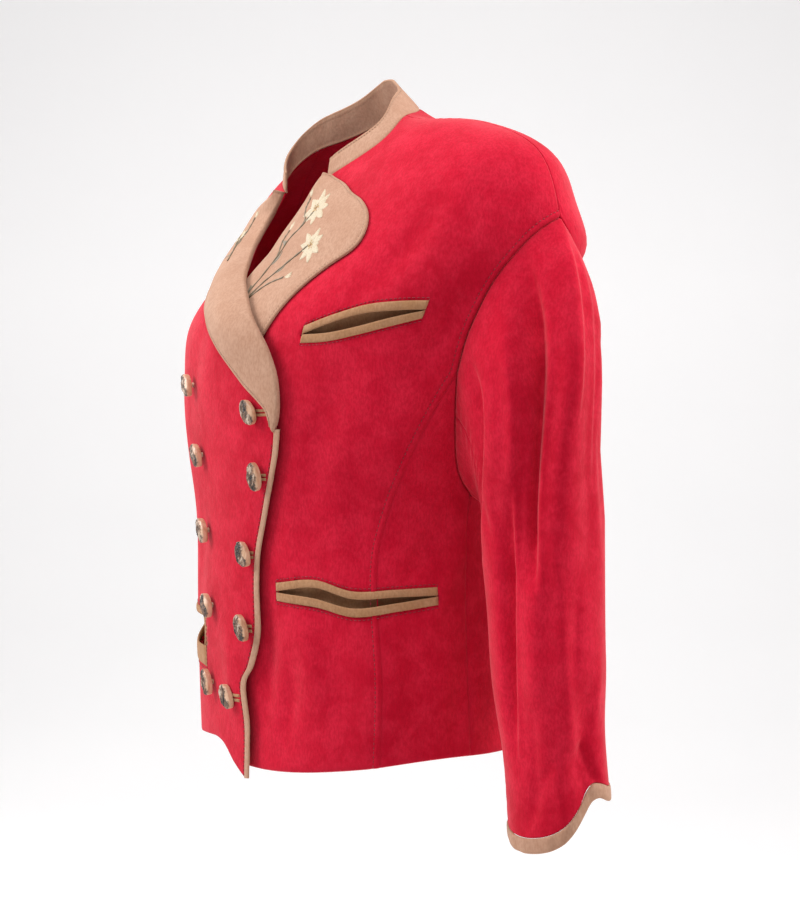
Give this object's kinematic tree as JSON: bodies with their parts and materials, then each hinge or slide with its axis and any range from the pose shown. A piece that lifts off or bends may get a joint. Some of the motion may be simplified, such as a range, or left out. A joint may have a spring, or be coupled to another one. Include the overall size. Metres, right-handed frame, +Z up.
{
  "type": "trachten blazer",
  "caption": "Women's double-breasted trachten blazer in red suede with tan suede stand collar, lapels, welt pockets and cuff bindings, and slant-cut horn buttons; empty and held by its neck.",
  "frame": {"origin": "centre of the neck opening at the height of the shoulder seams, where the jacket is held", "axes": "+Z up, front towards -Y, the wearer's left towards +X"},
  "size_m": [0.6678, 0.3395, 0.7184],
  "materials": {
    "red_suede": "matte suede nap",
    "tan_suede": "matte suede nap",
    "horn": "rough bark with a smooth cut rim, satin"
  },
  "bodies": {
    "root": {"back": "red_suede", "front_left": "red_suede", "side_front_left": "red_suede", "upper_sleeve_left": "red_suede", "under_sleeve_left": "red_suede", "front_right": "red_suede", "side_front_right": "red_suede", "upper_sleeve_right": "red_suede", "under_sleeve_right": "red_suede", "collar": "tan_suede", "front_binding_right": "tan_suede", "lapel_left": "tan_suede", "cuff_binding_left": "tan_suede", "lapel_right": "tan_suede", "cuff_binding_right": "tan_suede", "chest_pocket_left_upper_strip": "tan_suede", "chest_pocket_left_lower_strip": "tan_suede", "chest_pocket_left_facing": "tan_suede", "hip_pocket_left_upper_strip": "tan_suede", "hip_pocket_left_lower_strip": "tan_suede", "hip_pocket_left_facing": "tan_suede", "hip_pocket_right_upper_strip": "tan_suede", "hip_pocket_right_lower_strip": "tan_suede", "hip_pocket_right_facing": "tan_suede", "button_1_inner": "horn", "button_1_outer": "horn", "button_2_inner": "horn", "button_2_outer": "horn", "button_3_inner": "horn", "button_3_outer": "horn", "button_4_inner": "horn", "button_4_outer": "horn", "button_5_inner": "horn", "button_5_outer": "horn"}
  },
  "joints": []
}
